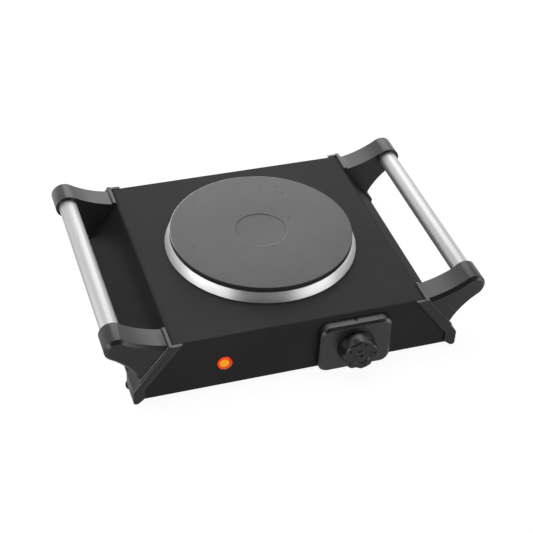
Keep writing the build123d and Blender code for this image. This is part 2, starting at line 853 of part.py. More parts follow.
# Rear inlet, terminal strip and earth
with BuildPart() as cord_gland:
    with BuildSketch(rear_plane):
        with Locations((-gland_x, gland_z)):
            Circle(gland_head_radius)
    extrude(amount=gland_head, taper=gland_taper)
    with BuildSketch(rear_plane):
        with Locations((-gland_x, gland_z)):
            Circle(gland_body_radius)
    extrude(amount=-sheet - gland_tail)
    with BuildSketch(rear_plane.offset(gland_head)):
        with Locations((-gland_x, gland_z)):
            Circle(gland_bore_radius)
    extrude(amount=-gland_head - sheet - gland_tail, mode=Mode.SUBTRACT)

strip_back = back_inner - strip_setback
strip_front = strip_back - strip_depth
strip_y = (strip_back + strip_front) / 2
with BuildPart() as terminal_strip:
    with Locations((gland_x, strip_y, base_top)):
        Box(strip_width, strip_depth, strip_height, align=(Align.CENTER, Align.CENTER, Align.MIN))
    fillet(terminal_strip.edges().filter_by(Axis.Z), radius=strip_corner)
    with Locations((gland_x, strip_y, base_top + strip_height)):
        with GridLocations(strip_pitch, 0, 3, 1):
            Hole(screw_head_radius, strip_well)

with BuildPart() as strip_screws:
    with BuildSketch(Plane((gland_x, strip_y, base_top + strip_height - strip_well))):
        with GridLocations(strip_pitch, 0, 3, 1):
            Circle(screw_head_radius - hole_gap)
    extrude(amount=screw_head)

with BuildPart() as earth_tab:
    with Locations((earth_x, strip_y, base_top)):
        Box(tab_width, tab_width, tab_thickness, align=(Align.MIN, Align.CENTER, Align.MIN))
        Box(tab_thickness, tab_width, earth_height, align=(Align.MIN, Align.CENTER, Align.MIN))

# Wiring inside the case
strip_mid = base_top + strip_height / 2
earth_z = base_top + earth_height - tab_width / 2
strip_left = gland_x - strip_width / 2
strip_right = gland_x + strip_width / 2
side_run = shield_width / 2 + shield_foot + lead_straight
tab_end = stat_back + tab_length
pin_inner = polar(coil_inner, coil_start, pin_under)
pin_outer = polar(coil_outer, coil_start, pin_under)
near_pins = pin_under - lead_straight
front_run = tab_end + lead_straight
strip_run = strip_front - lead_straight
lamp_run = holder_end + lead_straight
lamp_pin = bulb_radius - lead_radius + bulb_seat / 4

lead_routes = {
    "live_lead": [
        (gland_x + strip_pitch, strip_front, strip_mid),
        (gland_x + strip_pitch, strip_run, strip_mid),
        (side_run, strip_run - lead_straight, strip_mid),
        (side_run, front_run + lead_straight, strip_mid),
        (tab_places[1][0], front_run, control_z),
        (tab_places[1][0], tab_end, control_z),
    ],
    "neutral_lead": [
        (gland_x, strip_front, strip_mid),
        (gland_x, strip_run, strip_mid),
        (gland_x / 2, case_y, near_pins - lead_bend),
        (pin_inner[0], pin_inner[1], near_pins),
        pin_inner,
    ],
    "switched_lead": [
        (tab_places[0][0], tab_end, control_z),
        (tab_places[0][0], front_run, control_z),
        (pin_outer[0], pin_outer[1], near_pins - lead_bend),
        pin_outer,
    ],
    "lamp_live_lead": [
        (lamp_x + lamp_pin, holder_end, lamp_z),
        (lamp_x + lamp_pin, lamp_run, lamp_z),
        (control_x - stat_width / 2 - lead_straight, stat_back - stat_depth / 2, lamp_z),
        (control_x - stat_width / 2, stat_back - stat_depth / 2, lamp_z),
    ],
    "lamp_neutral_lead": [
        (lamp_x - lamp_pin, holder_end, lamp_z),
        (lamp_x - lamp_pin, lamp_run, lamp_z),
        (-side_run, case_y, strip_mid),
        (-side_run, strip_y, strip_mid),
        (strip_left, strip_y, strip_mid),
    ],
    "earth_lead": [
        (strip_right, strip_y, strip_mid),
        (strip_right + lead_straight, strip_y, strip_mid),
        (earth_x - lead_straight, strip_y, earth_z),
        (earth_x, strip_y, earth_z),
    ],
}

pieces = {
    "body_shell": body_shell,
    "base_plate": base_plate,
    "base_screws": base_screws,
    "heat_shield": heat_shield,
    "bracket_front_left": bracket_front_left,
    "bracket_front_right": bracket_front_right,
    "bracket_rear_left": bracket_rear_left,
    "bracket_rear_right": bracket_rear_right,
    "bracket_screws": bracket_screws,
    "rubber_feet": rubber_feet,
    "handle_tube_left": handle_tube_left,
    "handle_tube_right": handle_tube_right,
    "hot_plate": hot_plate,
    "trim_ring": trim_ring,
    "heating_coil": heating_coil,
    "magnesia_fill": magnesia_fill,
    "plate_cover": plate_cover,
    "terminal_beads": terminal_beads,
    "centre_stud": centre_stud,
    "clamp_bridge": clamp_bridge,
    "clamp_washer": clamp_washer,
    "clamp_nut": clamp_nut,
    "control_bezel": control_bezel,
    "bezel_screws": bezel_screws,
    "knob": knob,
    "thermostat_body": thermostat_body,
    "thermostat_nut": thermostat_nut,
    "thermostat_spindle": thermostat_spindle,
    "thermostat_tabs": thermostat_tabs,
    "lamp_lens": lamp_lens,
    "lamp_holder": lamp_holder,
    "neon_bulb": neon_bulb,
    "lamp_clip": lamp_clip,
    "cord_gland": cord_gland,
    "terminal_strip": terminal_strip,
    "strip_screws": strip_screws,
    "earth_tab": earth_tab,
}

for name, points in lead_routes.items():
    with BuildPart() as lead:
        with BuildLine() as route:
            FilletPolyline(*points, radius=lead_bend)
        with BuildSketch(Plane(origin=route.line @ 0, z_dir=route.line % 0)):
            Circle(lead_radius)
        sweep()
    pieces[name] = lead

for name, piece in pieces.items():
    piece.part.label = name
    export_step(piece.part, f"parts/{name}.step")
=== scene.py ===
import bmesh
import bpy
import json
import math
from mathutils import Matrix, Vector


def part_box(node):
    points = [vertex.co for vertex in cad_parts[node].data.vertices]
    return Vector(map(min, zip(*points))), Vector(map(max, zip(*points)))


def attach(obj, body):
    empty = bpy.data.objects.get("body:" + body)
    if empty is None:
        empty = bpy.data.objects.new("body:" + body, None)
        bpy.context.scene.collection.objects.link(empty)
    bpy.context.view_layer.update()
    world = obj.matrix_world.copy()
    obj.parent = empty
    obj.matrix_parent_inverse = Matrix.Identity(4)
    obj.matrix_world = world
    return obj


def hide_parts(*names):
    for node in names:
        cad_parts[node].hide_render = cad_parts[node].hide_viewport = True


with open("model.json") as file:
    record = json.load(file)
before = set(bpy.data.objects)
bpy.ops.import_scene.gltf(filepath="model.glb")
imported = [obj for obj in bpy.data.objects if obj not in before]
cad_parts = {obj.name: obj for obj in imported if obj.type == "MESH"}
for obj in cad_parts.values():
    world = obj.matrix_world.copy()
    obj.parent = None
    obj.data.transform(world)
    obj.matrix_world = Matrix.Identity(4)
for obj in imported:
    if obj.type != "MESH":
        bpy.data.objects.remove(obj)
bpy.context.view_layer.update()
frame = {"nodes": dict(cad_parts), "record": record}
nodes = frame["nodes"]
mm = 0.001
fullTurn = 2 * math.pi
print("frame loaded, nodes:", len(nodes))


# shader sockets

class Wire:
    # an output socket, so that masks can be written as sums
    def __init__(self, finish, node, socket):
        self.finish = finish
        self.node = node
        self.socket = socket

    def out(self, name):
        return Wire(self.finish, self.node, self.node.outputs[name])

    def sums(self, operation, first, second):
        return self.finish.add("ShaderNodeMath", {"operation": operation}, {0: first, 1: second})

    def __add__(self, other):
        return self.sums("ADD", self, other)

    def __sub__(self, other):
        return self.sums("SUBTRACT", self, other)

    def __rsub__(self, other):
        return self.sums("SUBTRACT", other, self)

    def __mul__(self, other):
        return self.sums("MULTIPLY", self, other)

    def __truediv__(self, other):
        return self.sums("DIVIDE", self, other)

    def __rtruediv__(self, other):
        return self.sums("DIVIDE", other, self)

    __radd__ = __add__
    __rmul__ = __mul__


class Finish:
    # a node tree that is filled by add()
    def __init__(self, owner):
        owner.use_nodes = True
        self.owner = owner
        self.tree = owner.node_tree
        self.tree.nodes.clear()

    def add(self, kind, settings=None, inputs=None, output=0):
        node = self.tree.nodes.new(kind)
        for key, value in (settings or {}).items():
            setattr(node, key, value)
        for key, value in (inputs or {}).items():
            if isinstance(value, Wire):
                self.tree.links.new(value.socket, node.inputs[key])
            else:
                node.inputs[key].default_value = value
        return Wire(self, node, node.outputs[output] if len(node.outputs) else None)

    def place(self):
        return self.add("ShaderNodeTexCoord", output="Object")

    def along(self, vector, axis):
        return self.add("ShaderNodeSeparateXYZ", None, {0: vector}, output=axis)

    def length(self, vector):
        return self.add("ShaderNodeVectorMath", {"operation": "LENGTH"}, {0: vector}, output="Value")

    def wave(self, distance, pitch):
        return self.add("ShaderNodeMath", {"operation": "SINE"}, {0: distance * (fullTurn / pitch)})

    def stretched(self, scale, centre=(0, 0, 0)):
        moved = self.add("ShaderNodeVectorMath", {"operation": "SUBTRACT"}, {0: self.place(), 1: centre})
        return self.add("ShaderNodeVectorMath", {"operation": "MULTIPLY"}, {0: moved, 1: scale})

    def noise(self, scale, detail=3.0, roughness=0.5, vector=None):
        inputs = {"Scale": scale, "Detail": detail, "Roughness": roughness}
        inputs["Vector"] = vector or self.place()
        return self.add("ShaderNodeTexNoise", None, inputs)

    def streaks(self, stretch, detail, roughness):
        return self.noise(1.0, detail, roughness, self.stretched(stretch))

    def ramp(self, value, low, high, start=0.0, end=1.0):
        settings = {"clamp": True, "interpolation_type": "SMOOTHSTEP"}
        inputs = {"Value": value, "From Min": low, "From Max": high, "To Min": start, "To Max": end}
        return self.add("ShaderNodeMapRange", settings, inputs)

    def patches(self, noise, low=0.3, high=0.7):
        return self.ramp(noise, low, high)

    def facing(self, heading, target, low, high):
        inputs = {0: heading, 1: target}
        nearness = self.add("ShaderNodeVectorMath", {"operation": "DOT_PRODUCT"}, inputs, output="Value")
        return self.ramp(nearness, low, high)

    def mixed(self, factor, first, second):
        colour = {"data_type": "RGBA"}
        return self.add("ShaderNodeMix", colour, {0: factor, 6: first, 7: second}, output=2)

    def bump(self, height, distance, strength=0.3):
        inputs = {"Height": height, "Strength": strength, "Distance": distance}
        return self.add("ShaderNodeBump", None, inputs)

    def surface(self, **inputs):
        sockets = {key.replace("_", " "): value for key, value in inputs.items()}
        shader = self.add("ShaderNodeBsdfPrincipled", None, sockets)
        self.add("ShaderNodeOutputMaterial", None, {"Surface": shader})
        return self.owner


def newFinish(name):
    return Finish(bpy.data.materials.new(name))


def grey(level):
    return (level, level, level, 1.0)


def around(middle, noise, spread):
    return middle + (noise - 0.5) * spread  # noise varies about a half


def beside(place, offsets):
    return [place + offset for offset in offsets]


# mesh helpers

def addPiece(name, shape, body, finish, node):
    # a new piece that stands in for the CAD node
    mesh = bpy.data.meshes.new(name)
    shape.to_mesh(mesh)
    shape.free()
    piece = bpy.data.objects.new(name, mesh)
    bpy.context.scene.collection.objects.link(piece)
    mesh.materials.append(finish)
    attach(piece, body)
    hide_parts(node)
    return piece


def smooth(piece, angle=35.0):
    piece.data.polygons.foreach_set("use_smooth", [True] * len(piece.data.polygons))
    piece.data.set_sharp_from_angle(angle=math.radians(angle))


def rounded(corners, closed=False, steps=5):
    # corners are (across, along, radius), and each radius becomes an arc
    path = []
    last = len(corners) - 1
    for i, (across, along, radius) in enumerate(corners):
        here = Vector((across, along))
        if radius == 0 or (not closed and i in (0, last)):
            path.append(here)
            continue
        before = Vector(corners[i - 1][:2]) - here
        after = Vector(corners[(i + 1) % len(corners)][:2]) - here
        half = before.angle(after) / 2
        room = 0.49 * min(before.length, after.length)  # an arc takes less than half of either side
        reach = min(radius / math.tan(half), room)
        radius = reach * math.tan(half)
        before.normalize()
        after.normalize()
        centre = here + (before + after).normalized() * (radius / math.sin(half))
        arm = here + before * reach - centre
        end = here + after * reach - centre
        sweep = math.atan2(arm.x * end.y - arm.y * end.x, arm.dot(end))
        path += [centre + Matrix.Rotation(sweep * k / steps, 2) @ arm for k in range(steps + 1)]
    return path


def lathe(path, origin, along, steps, closed=False):
    # turns a path of (radius, distance) round an axis through origin
    shape = bmesh.new()
    axis = Vector(along).normalized()
    side = axis.orthogonal().normalized()
    other = axis.cross(side)
    turns = [fullTurn * k / steps for k in range(steps)]
    spokes = [side * math.cos(turn) + other * math.sin(turn) for turn in turns]
    rings = []
    for radius, distance in path:
        middle = Vector(origin) + axis * distance
        if radius == 0:
            rings.append([shape.verts.new(middle)])
        else:
            rings.append([shape.verts.new(middle + spoke * radius) for spoke in spokes])
    joinRings(shape, rings, closed)
    return shape


def joinRings(shape, rings, closed=False):
    # faces between neighbouring rings, where a ring of one vertex is a tip
    steps = max(len(ring) for ring in rings)
    pairs = list(zip(rings, rings[1:]))
    if closed:
        pairs.append((rings[-1], rings[0]))
    for first, second in pairs:
        for k in range(steps):
            n = (k + 1) % steps
            places = ((first, k), (first, n), (second, n), (second, k))
            corners = [ring[i % len(ring)] for ring, i in places]
            unique = list(dict.fromkeys(corners))
            if len(unique) > 2:
                shape.faces.new(unique)
    bmesh.ops.recalc_face_normals(shape, faces=shape.faces)


def cutSeams(shape, look):
    # flat cuts along the long edges between an upright face and a slope
    slack = look["seamSlack"]
    low, high = look["seamTilt"]
    seams = []
    for edge in shape.edges:
        if len(edge.link_faces) != 2 or edge.calc_length() < look["seamLength"] or not edge.is_convex:
            continue
        normals = [face.normal for face in edge.link_faces]
        upright, tilted = sorted(normals, key=lambda normal: -abs(normal.y))
        if abs(upright.y) > 1 - slack and abs(tilted.y) < slack and low < tilted.z < high:
            seams.append(edge)
    width = look["seam"]
    bmesh.ops.bevel(shape, geom=seams, offset=width, segments=1, affect="EDGES", clamp_overlap=False)
    return len(seams)


def dressed(node, name, finish, look, segments=2, angle=28.0, flatness=0.6, weld=0.001 * mm):
    # a copy of a solid's mesh with its flat faces joined and its edges rounded
    shape = bmesh.new()
    shape.from_mesh(nodes[node].data)
    bmesh.ops.remove_doubles(shape, verts=shape.verts, dist=weld)
    flat = math.radians(flatness)
    bmesh.ops.dissolve_limit(shape, angle_limit=flat, verts=shape.verts, edges=shape.edges)
    if "seam" in look:
        print(name, "seams cut:", cutSeams(shape, look))
    piece = addPiece(name, shape, "base", finish, node)
    smooth(piece, angle)
    edge = piece.modifiers.new("edges", "BEVEL")
    edge.width = look["bevel"]
    edge.segments = segments
    edge.limit_method = "ANGLE"
    edge.angle_limit = math.radians(angle)
    edge.harden_normals = True
    edge.miter_outer = "MITER_ARC"
    return piece


# camera, in metres and degrees

view = {
    "lens": 90.78, "sensor": 36.0, "place": (-0.35879, -1.00053, 0.90248),
    "yaw": 19.906, "pitch": 38.992, "roll": 3.246,
}

yaw, pitch, roll = (math.radians(view[key]) for key in ("yaw", "pitch", "roll"))
ahead = Vector((math.sin(yaw) * math.cos(pitch), math.cos(yaw) * math.cos(pitch), -math.sin(pitch)))
level = Vector((math.cos(yaw), -math.sin(yaw), 0))
above = level.cross(ahead)
across = level * math.cos(roll) + above * math.sin(roll)
upward = above * math.cos(roll) - level * math.sin(roll)
camera = bpy.data.objects.new("camera", bpy.data.cameras.new("camera"))
bpy.context.scene.collection.objects.link(camera)
camera.data.lens = view["lens"]
camera.data.sensor_width = view["sensor"]
turned = Matrix((across, upward, -ahead)).transposed().to_4x4()
camera.matrix_world = Matrix.Translation(view["place"]) @ turned
bpy.context.scene.camera = camera
bpy.context.scene.view_settings.view_transform = "Standard"
print("camera set")


# studio

studio = {
    "backHeading": (0.0, 0.95, 0.3),  # the surround is bright behind the object
    "backEdge": (-0.1, 0.6),
    "fill": (0.02, 0.3),  # light on matt faces from the sides and from behind
    "frontFill": 1.4,  # and from low in front
    "frontHeading": (0.1, -0.975, 0.2),
    "frontEdge": (0.6, 0.95),
    "mirror": (0.46, 1.0),  # what reflections see at the sides and behind
    "dark": 0.05,  # what reflections see of the viewer's side
    "darkHeading": (-0.2, -0.82, 0.54),
    "darkEdge": (0.48, 0.72),
    "floorSize": 8.0,
    "floorGlow": 0.93,
    "floorGrey": 0.14,
    "floorMirror": (0.5, 1.0),  # what reflections see of the floor: a painted shadow close by, full brightness further away
    "floorShadowReach": (0.22, 0.42),
    "floorBounce": 0.22,  # what matt faces see of it
    "lamps": {
        "leftBox": {"place": (-1.58, -0.4, 0.42), "size": (1.75, 0.7), "power": 15.0, "mirrored": True},
        "rightBox": {"place": (1.15, -1.11, 0.42), "size": (1.5, 0.7), "power": 8.3, "mirrored": True},
        "sideBox": {"place": (1.6, -0.06, 0.42), "size": (0.9, 0.7), "power": 1.8, "mirrored": True},
        "backBox": {"place": (0.35, 1.2, 1.15), "size": (1.2, 1.6), "power": 10.5, "mirrored": True},
        "topBox": {"place": (-0.1, 0.4, 1.5), "size": (1.4, 1.4), "power": 16.0, "mirrored": False},
        "slopeBox": {"place": (-1.2, 1.35, 0.3), "size": (0.9, 0.3), "power": 29.0, "mirrored": False},
    },
}

for name, box in studio["lamps"].items():
    light = bpy.data.lights.new(name, "AREA")
    light.shape = "RECTANGLE"
    light.size, light.size_y = box["size"]
    light.energy = box["power"]
    holder = bpy.data.objects.new(name, light)
    bpy.context.scene.collection.objects.link(holder)
    holder.visible_glossy = box["mirrored"]  # a box either shows in reflections or lights matt faces
    holder.visible_diffuse = not box["mirrored"]
    holder.location = box["place"]
    holder.rotation_euler = Vector(box["place"]).to_track_quat("Z", "Y").to_euler()

world = bpy.data.worlds.new("surround")
bpy.context.scene.world = world
sky = Finish(world)
rays = sky.add("ShaderNodeLightPath")
heading = sky.add("ShaderNodeTexCoord", output="Generated")
viewerSide = sky.facing(heading, studio["darkHeading"], *studio["darkEdge"])
behind = sky.facing(heading, studio["backHeading"], *studio["backEdge"])
lowFront = sky.facing(heading, studio["frontHeading"], *studio["frontEdge"])
fill = sky.ramp(behind, 0.0, 1.0, *studio["fill"]) + lowFront * studio["frontFill"]
mirror = sky.ramp(behind, 0.0, 1.0, *studio["mirror"]) * (1 - viewerSide * (1 - studio["dark"]))
glossy = rays.out("Is Glossy Ray")
seen = rays.out("Is Camera Ray") + rays.out("Is Transmission Ray")
bright = seen + glossy * mirror + (1 - seen - glossy) * fill
background = sky.add("ShaderNodeBackground", None, {"Color": grey(1.0), "Strength": bright})
sky.add("ShaderNodeOutputWorld", None, {"Surface": background})

floorShape = bmesh.new()
bmesh.ops.create_grid(floorShape, x_segments=1, y_segments=1, size=studio["floorSize"] / 2)
floorMesh = bpy.data.meshes.new("floor")
floorShape.to_mesh(floorMesh)
floorShape.free()
floor = bpy.data.objects.new("floor", floorMesh)
bpy.context.scene.collection.objects.link(floor)
ground = newFinish("paleFloor")
rays = ground.add("ShaderNodeLightPath")
mirrored = rays.out("Is Glossy Ray") + rays.out("Is Transmission Ray")
seen = rays.out("Is Camera Ray")
# painted shadow: reflections see the floor darker close to the object
away = ground.length(ground.place())
bright = ground.ramp(away, *studio["floorShadowReach"], *studio["floorMirror"])
shown = seen + mirrored * bright + (1 - seen - mirrored) * studio["floorBounce"]
plain = ground.add("ShaderNodeBsdfDiffuse", None, {"Color": grey(0.0)})
matte = ground.add("ShaderNodeBsdfDiffuse", None, {"Color": grey(studio["floorGrey"])})
glow = ground.add("ShaderNodeEmission", None, {"Color": grey(1.0), "Strength": studio["floorGlow"]})
lit = ground.add("ShaderNodeAddShader", None, {0: matte, 1: glow})
both = ground.add("ShaderNodeMixShader", None, {0: shown, 1: plain, 2: lit})
ground.add("ShaderNodeOutputMaterial", None, {"Surface": both})
floorMesh.materials.append(ground.owner)
print("studio lit")


# case, satin black enamel on folded sheet

case = {
    "bevel": 0.25 * mm, "cloud": (14.0, 4.0), "cloudEdge": (0.35, 0.7), "black": 0.034, "bloom": 0.039,
    "slope": 0.016, "slopeShadeEdge": (0.2, 0.5),  # painted shade: the sloped sides are painted darker than the flat of the case
    "grain": (1500.0, 2.0), "grainDepth": 0.02 * mm,
    "roughness": 0.55, "unevenness": 0.1, "sheen": 0.045,
}

enamel = newFinish("caseEnamel")
cloud = enamel.noise(*case["cloud"])
grain = enamel.noise(*case["grain"])
paint = enamel.mixed(enamel.patches(cloud, *case["cloudEdge"]), grey(case["black"]), grey(case["bloom"]))
# painted shade: faces that lean sideways get the darker slope paint
lean = enamel.along(enamel.add("ShaderNodeTexCoord", output="Normal"), "X")
slopeShade = enamel.ramp(lean * lean, *case["slopeShadeEdge"])
caseEnamel = enamel.surface(
    Base_Color=enamel.mixed(slopeShade, paint, grey(case["slope"])),
    Roughness=around(case["roughness"], cloud, case["unevenness"]),
    Normal=enamel.bump(grain, case["grainDepth"]),
    Specular_IOR_Level=case["sheen"],
)
dressed("body_shell", "caseShell", caseEnamel, case)
print("case dressed")


# corner brackets, moulded heat-resistant plastic

bracket = {
    "bevel": 0.4 * mm, "seam": 0.7 * mm, "seamLength": 20 * mm, "seamTilt": (0.5, 0.7), "seamSlack": 0.01,
    "cloud": (22.0, 3.0), "black": 0.013, "grain": (2200.0, 2.0), "grainDepth": 0.006 * mm,
    "roughness": 0.3, "unevenness": 0.16, "sheen": 0.5,
}


def mouldedPlastic(name, look, bloom=1.35):
    moulded = newFinish(name)
    cloud = moulded.noise(*look["cloud"])
    grain = moulded.noise(*look["grain"])
    tones = (grey(look["black"]), grey(look["black"] * bloom))
    return moulded.surface(
        Base_Color=moulded.mixed(moulded.patches(cloud), *tones),
        Roughness=around(look["roughness"], cloud, look["unevenness"]),
        Normal=moulded.bump(grain, look["grainDepth"]),
        Specular_IOR_Level=look["sheen"],
    )


bracketPlastic = mouldedPlastic("bracketPlastic", bracket)
for corner in ("front_left", "front_right", "rear_left", "rear_right"):
    dressed("bracket_" + corner, "cornerBracket_" + corner, bracketPlastic, bracket)
print("brackets dressed")


# handle tubes, satin metal drawn lengthwise

tube = {
    "wall": 1.2 * mm, "edge": 0.4 * mm, "steps": 96,
    "fine": (900.0, 3.0, 900.0), "fineDetail": (4.0, 0.6), "fineShare": 0.6,
    "broad": (160.0, 1.2, 160.0), "broadDetail": (2.0, 0.5), "light": 0.64, "dark": 0.39,
    "roughness": 0.5, "unevenness": 0.2, "scratch": 0.08, "scratchDepth": 0.03 * mm,
}

drawn = newFinish("drawnMetal")
fine = drawn.streaks(tube["fine"], *tube["fineDetail"])
broad = drawn.streaks(tube["broad"], *tube["broadDetail"])
lines = fine * tube["fineShare"] + broad * (1 - tube["fineShare"])
drawnMetal = drawn.surface(
    Base_Color=drawn.mixed(drawn.patches(lines), grey(tube["dark"]), grey(tube["light"])),
    Roughness=around(tube["roughness"], lines, tube["unevenness"]),
    Metallic=1.0,
    Normal=drawn.bump(fine, tube["scratchDepth"], tube["scratch"]),
)
for side in ("left", "right"):
    node = "handle_tube_" + side
    low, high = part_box(node)
    radius = (high.x - low.x) / 2
    half = (high.y - low.y) / 2
    bore = radius - tube["wall"]
    edge = tube["edge"]
    corners = [(radius, -half, edge), (radius, half, edge), (bore, half, 0), (bore, -half, 0)]
    path = rounded(corners, closed=True, steps=3)
    shape = lathe(path, (low + high) / 2, (0, 1, 0), tube["steps"], closed=True)
    smooth(addPiece("handleTube_" + side, shape, "base", drawnMetal, node))
print("tubes turned")


# hot plate, turned cast iron

plate = {
    "side": 5.6 * mm, "neck": 3.8 * mm, "rim": 0.8 * mm, "sideRound": 0.4 * mm, "neckRound": 0.3 * mm,
    "dish": 26.5 * mm, "dishDepth": 0.8 * mm, "dishWall": 1.5 * mm,
    "dishFoot": 0.5 * mm, "dishLip": 0.35 * mm, "steps": 256,
    "channelIn": 34 * mm, "channelOut": 80 * mm, "channelDepth": 6.5 * mm,
    "pitch": 1.78 * mm, "chatter": 4.6 * mm, "wander": 0.5 * mm,  # marks of turning
    "cutDepth": 0.08 * mm, "cutStrength": 0.5,
    "chatterSheenSide": (0.6, 0.95),  # turning chatter, painted only in front of the middle and behind it as a painted sheen
    "marks": {"cuts": 0.5, "cloud": 0.3, "speck": 0.2, "chatter": 0.07}, "markEdge": (0.25, 0.75),
    "drift": (40.0, 2.0), "speck": (1300.0, 3.0, 0.6), "cloud": (30.0, 4.0), "pits": (170.0, 1.0),
    "dark": 0.043, "light": 0.08, "black": 0.009,
    "pitEdge": (0.74, 0.78), "pitBlack": 0.012, "pitShare": 0.85, "pitDepth": 3.0,
    "topEdge": (-1.6 * mm, -1.2 * mm), "wallEdge": (-0.3 * mm, -0.15 * mm),  # where the bare face ends
    # painted highlight: the rim is painted light, in patches, on its back side
    "rimHighlight": 0.6, "rimHighlightEdge": (-0.9 * mm, -0.5 * mm), "rimHighlightSide": (-0.45, 0.89, 0.0),
    "rimHighlightSpread": (0.2, 0.7), "rimHighlightPatch": (0.3, 0.5),
    "lip": 0.15, "lipIn": (-0.5 * mm, -0.1 * mm), "lipOut": (0.1 * mm, 0.6 * mm), "lipShare": 0.7,
    "roughness": 0.45, "unevenness": 0.2, "sideRoughness": 0.2, "sheen": 0.4,
}

plateLow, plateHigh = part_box("hot_plate")
plateMiddle = (plateLow + plateHigh) / 2
plateAxis = (plateMiddle.x, plateMiddle.y, 0)
plateRadius = (plateHigh.x - plateLow.x) / 2
face = plateHigh.z
shoulder = face - plate["side"]
neckRadius = plateRadius - plate["neck"]
channelTop = plateLow.z + plate["channelDepth"]
corners = [
    (0, face - plate["dishDepth"], 0),
    (plate["dish"] - plate["dishWall"], face - plate["dishDepth"], plate["dishFoot"]),
    (plate["dish"], face, plate["dishLip"]),
    (plateRadius, face, plate["rim"]),
    (plateRadius, shoulder, plate["sideRound"]),
    (neckRadius, shoulder, 0),
    (neckRadius, plateLow.z, plate["neckRound"]),
    (plate["channelOut"], plateLow.z, 0),
    (plate["channelOut"], channelTop, 0),
    (plate["channelIn"], channelTop, 0),
    (plate["channelIn"], plateLow.z, 0),
    (0, plateLow.z, 0),
]
iron = newFinish("turnedIron")
spot = iron.stretched((1.0, 1.0, 0.0), plateMiddle)
reach = iron.length(spot)
height = iron.along(iron.place(), "Z")
wander = iron.noise(*plate["drift"]) * plate["wander"]
cuts = iron.wave(reach + wander, plate["pitch"])
chatter = iron.wave(reach + wander, plate["chatter"])
speck = iron.noise(*plate["speck"])
cloud = iron.noise(*plate["cloud"])
pits = iron.ramp(iron.noise(*plate["pits"]), *plate["pitEdge"])
toward = iron.along(spot, "Y") / reach
# painted sheen: the chatter shows only where the plate faces front and back
sheenSector = iron.ramp(toward * toward, *plate["chatterSheenSide"])
marks = plate["marks"]
tone = (cuts + 1) * 0.5 * marks["cuts"] + cloud * marks["cloud"] + speck * marks["speck"]
tone = tone + chatter * sheenSector * marks["chatter"]
worked = iron.mixed(iron.ramp(tone, *plate["markEdge"]), grey(plate["dark"]), grey(plate["light"]))
worked = iron.mixed(pits * plate["pitShare"], worked, grey(plate["pitBlack"]))
# painted highlight along the back of the plate's rim
rimHighlightAway, rimHighlightNear = (share * plateRadius for share in plate["rimHighlightSpread"])
rimHighlight = iron.ramp(reach, *beside(plateRadius, plate["rimHighlightEdge"]))
rimHighlight = rimHighlight * iron.facing(spot, plate["rimHighlightSide"], rimHighlightAway, rimHighlightNear)
worked = iron.mixed(rimHighlight * iron.patches(cloud, *plate["rimHighlightPatch"]), worked, grey(plate["rimHighlight"]))
lipIn = iron.ramp(reach, *beside(plate["dish"], plate["lipIn"]))
lipOut = iron.ramp(reach, *beside(plate["dish"], plate["lipOut"]))
worked = iron.mixed(lipIn * (1 - lipOut) * plate["lipShare"], worked, grey(plate["lip"]))
top = iron.ramp(height, *beside(face, plate["topEdge"]))
wall = iron.ramp(reach, *beside(plateRadius, plate["wallEdge"]))
relief = cuts * 0.5 + speck * 0.5 - pits * plate["pitDepth"]
turnedIron = iron.surface(
    Base_Color=iron.mixed(top * (1 - wall), grey(plate["black"]), worked),
    Roughness=around(plate["roughness"], speck, plate["unevenness"]) + (1 - top) * plate["sideRoughness"],
    Normal=iron.bump(relief, plate["cutDepth"], plate["cutStrength"]),
    Specular_IOR_Level=plate["sheen"],
)
shape = lathe(rounded(corners), plateAxis, (0, 0, 1), plate["steps"])
smooth(addPiece("hotPlate", shape, "base", turnedIron, "hot_plate"))
print("plate turned")


# trim ring, spun stainless sheet

ring = {
    "sheet": 0.7 * mm, "foot": 4 * mm, "lift": 1.4 * mm, "flare": 0.4 * mm, "fit": 0.2 * mm,
    "bend": 0.8 * mm, "lipRound": 0.2 * mm, "lipDrop": 0.3 * mm, "steps": 256,
    "spin": (12.0, 12.0, 2600.0), "spinDetail": (3.0, 0.6), "bright": 0.8, "dull": 0.72,
    "roughness": 0.47, "unevenness": 0.12,
    "scratch": 0.06, "scratchDepth": 0.02 * mm, "brushing": 0.7, "brushTurn": 0.25,
}

ringLow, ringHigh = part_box("trim_ring")
ringRadius = (ringHigh.x - ringLow.x) / 2
ringEdge = ringRadius + ring["flare"]
seat = neckRadius + ring["fit"]
sheet = ring["sheet"]
corners = [
    (seat, shoulder - sheet, 0),
    (seat, shoulder, 0),
    (plateRadius, shoulder, ring["bend"]),
    (ringEdge, ringLow.z + ring["lift"], ring["lipRound"]),
    (ringEdge - sheet, ringLow.z + ring["lift"] - ring["lipDrop"], 0),
    (ringRadius - ring["foot"] / 2, ringLow.z, 0),
    (ringRadius - ring["foot"], ringLow.z, 0),
    (ringRadius - ring["foot"], ringLow.z + sheet, 0),
    (ringRadius - 2 * sheet, ringLow.z + 2 * sheet, 0),
    (plateRadius - sheet, shoulder - sheet, 0),
]
stainless = newFinish("polishedRing")
spun = stainless.streaks(ring["spin"], *ring["spinDetail"])
polishedRing = stainless.surface(
    Base_Color=stainless.mixed(stainless.patches(spun), grey(ring["dull"]), grey(ring["bright"])),
    Roughness=around(ring["roughness"], spun, ring["unevenness"]),
    Metallic=1.0,
    Normal=stainless.bump(spun, ring["scratchDepth"], ring["scratch"]),
    Anisotropic=ring["brushing"],
    Anisotropic_Rotation=ring["brushTurn"],
)
path = rounded(corners, closed=True, steps=4)
shape = lathe(path, plateAxis, (0, 0, 1), ring["steps"], closed=True)
smooth(addPiece("trimRing", shape, "base", polishedRing, "trim_ring"))
print("ring spun")


# control panel, whose sides spread towards the case

panel = {
    "bevel": 0.25 * mm, "flat": 2.6 * mm, "draft": 0.055,
    "cloud": (22.0, 3.0), "black": 0.009, "grain": (2000.0, 2.0), "grainDepth": 0.006 * mm,
    "roughness": 0.3, "unevenness": 0.16, "sheen": 0.82,
}

